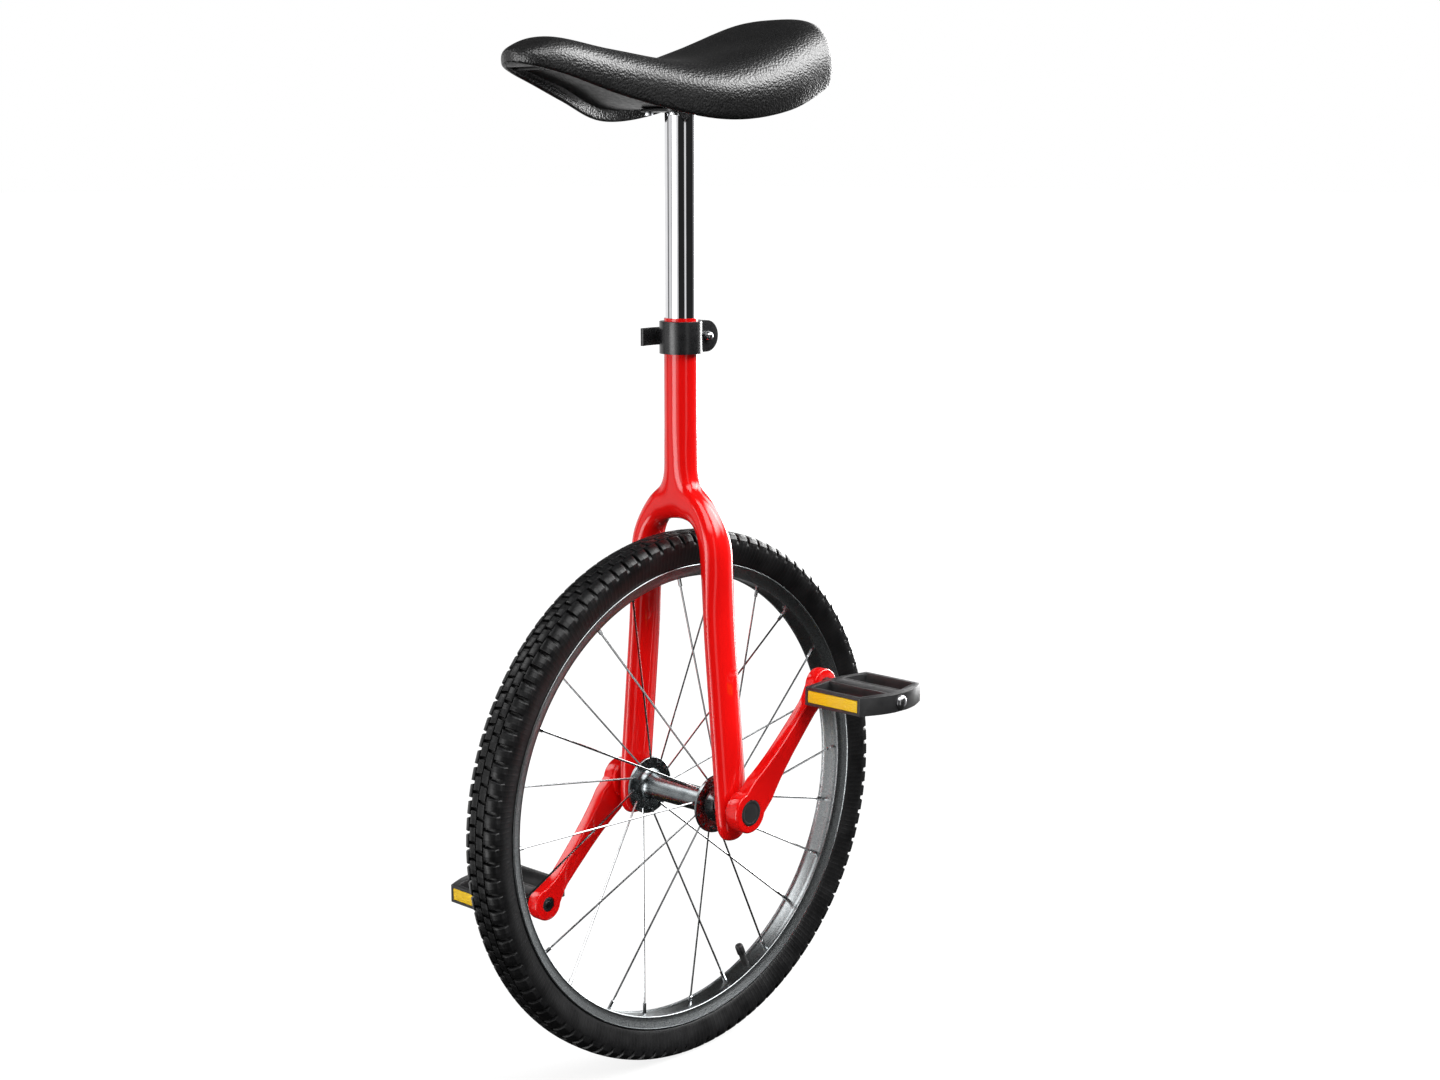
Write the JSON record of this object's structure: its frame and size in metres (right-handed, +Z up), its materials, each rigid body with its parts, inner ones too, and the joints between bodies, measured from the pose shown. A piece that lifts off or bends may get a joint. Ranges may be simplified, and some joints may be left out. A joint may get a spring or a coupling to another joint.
{
  "type": "unicycle",
  "caption": "Unicycle with a spoked wheel, black knobbly tyre, red fork frame and cranks, black platform pedals, chrome seat post with quick-release clamp and a curved black saddle.",
  "frame": {"origin": "centre of the tyre's contact with the ground", "axes": "+Z up along the seat post, -Y the way the rider faces, +X the rider's left along the axle"},
  "size_m": [0.3742, 0.508, 0.9824],
  "materials": {
    "tyre_rubber": "matt black tread rubber",
    "black_rubber": "matt black",
    "rim_alloy": "mid grey anodised metal with fine speckle",
    "spoke_steel": "plated wire",
    "hub_steel": "satin grey-teal metal",
    "plain_steel": "turned steel",
    "bright_chrome": "mirror bright",
    "red_paint": "gloss red enamel",
    "black_plastic": "moulded black plastic",
    "black_metal": "satin black",
    "amber_reflector": "grainy amber reflector",
    "saddle_vinyl": "fine-grained black vinyl with a soft sheen"
  },
  "bodies": {
    "frame": {"frame": "red_paint", "bearing_left": "plain_steel", "bearing_right": "plain_steel", "clamp_band": "black_metal", "clamp_skewer": "plain_steel", "clamp_nut": "bright_chrome"},
    "wheel": {"tyre": "tyre_rubber", "inner_tube": "black_rubber", "rim": "rim_alloy", "rim_tape": "black_rubber", "valve_stem": "black_rubber", "valve_cap": "black_plastic", "spoke_01": "spoke_steel", "spoke_02": "spoke_steel", "spoke_03": "spoke_steel", "spoke_04": "spoke_steel", "spoke_05": "spoke_steel", "spoke_06": "spoke_steel", "spoke_07": "spoke_steel", "spoke_08": "spoke_steel", "spoke_09": "spoke_steel", "spoke_10": "spoke_steel", "spoke_11": "spoke_steel", "spoke_12": "spoke_steel", "spoke_13": "spoke_steel", "spoke_14": "spoke_steel", "spoke_15": "spoke_steel", "spoke_16": "spoke_steel", "spoke_17": "spoke_steel", "spoke_18": "spoke_steel", "spoke_19": "spoke_steel", "spoke_20": "spoke_steel", "spoke_21": "spoke_steel", "spoke_22": "spoke_steel", "spoke_23": "spoke_steel", "spoke_24": "spoke_steel", "hub_shell": "hub_steel", "axle": "plain_steel", "crank_left": "red_paint", "crank_right": "red_paint", "crank_bolt_left": "plain_steel", "crank_bolt_right": "plain_steel", "crank_cap_left": "black_plastic", "crank_cap_right": "black_plastic", "pedal_axle_left": "plain_steel", "pedal_axle_right": "plain_steel"},
    "left_pedal": {"pedal_left": "black_plastic", "pedal_cap_left": "bright_chrome", "reflector_left_front": "amber_reflector", "reflector_left_rear": "amber_reflector"},
    "right_pedal": {"pedal_right": "black_plastic", "pedal_cap_right": "bright_chrome", "reflector_right_front": "amber_reflector", "reflector_right_rear": "amber_reflector"},
    "lever": {"clamp_lever": "black_metal"},
    "seat": {"seat_post": "bright_chrome", "saddle_bracket": "black_metal", "saddle_base": "black_plastic", "saddle_cushion": "saddle_vinyl"}
  },
  "joints": [
    {"name": "wheel_spin", "type": "hinge", "parent": "frame", "child": "wheel", "pos_m": [0, 0, 0.254], "axis": [1, 0, 0], "continuous": true},
    {"name": "left_pedal_spin", "type": "hinge", "parent": "wheel", "child": "left_pedal", "pos_m": [0.137, 0.10234, 0.35742], "axis": [1, 0, 0], "continuous": true},
    {"name": "right_pedal_spin", "type": "hinge", "parent": "wheel", "child": "right_pedal", "pos_m": [-0.137, -0.10234, 0.15058], "axis": [1, 0, 0], "continuous": true},
    {"name": "seatpost_slide", "type": "slide", "parent": "frame", "child": "seat", "axis": [0, 0, 1], "range_m": [-0.04, 0.05]},
    {"name": "clamp_lever_swing", "type": "hinge", "parent": "frame", "child": "lever", "pos_m": [-0.0146, 0.0268, 0.68875], "axis": [0, 0, -1], "range_deg": [0, 150]}
  ]
}
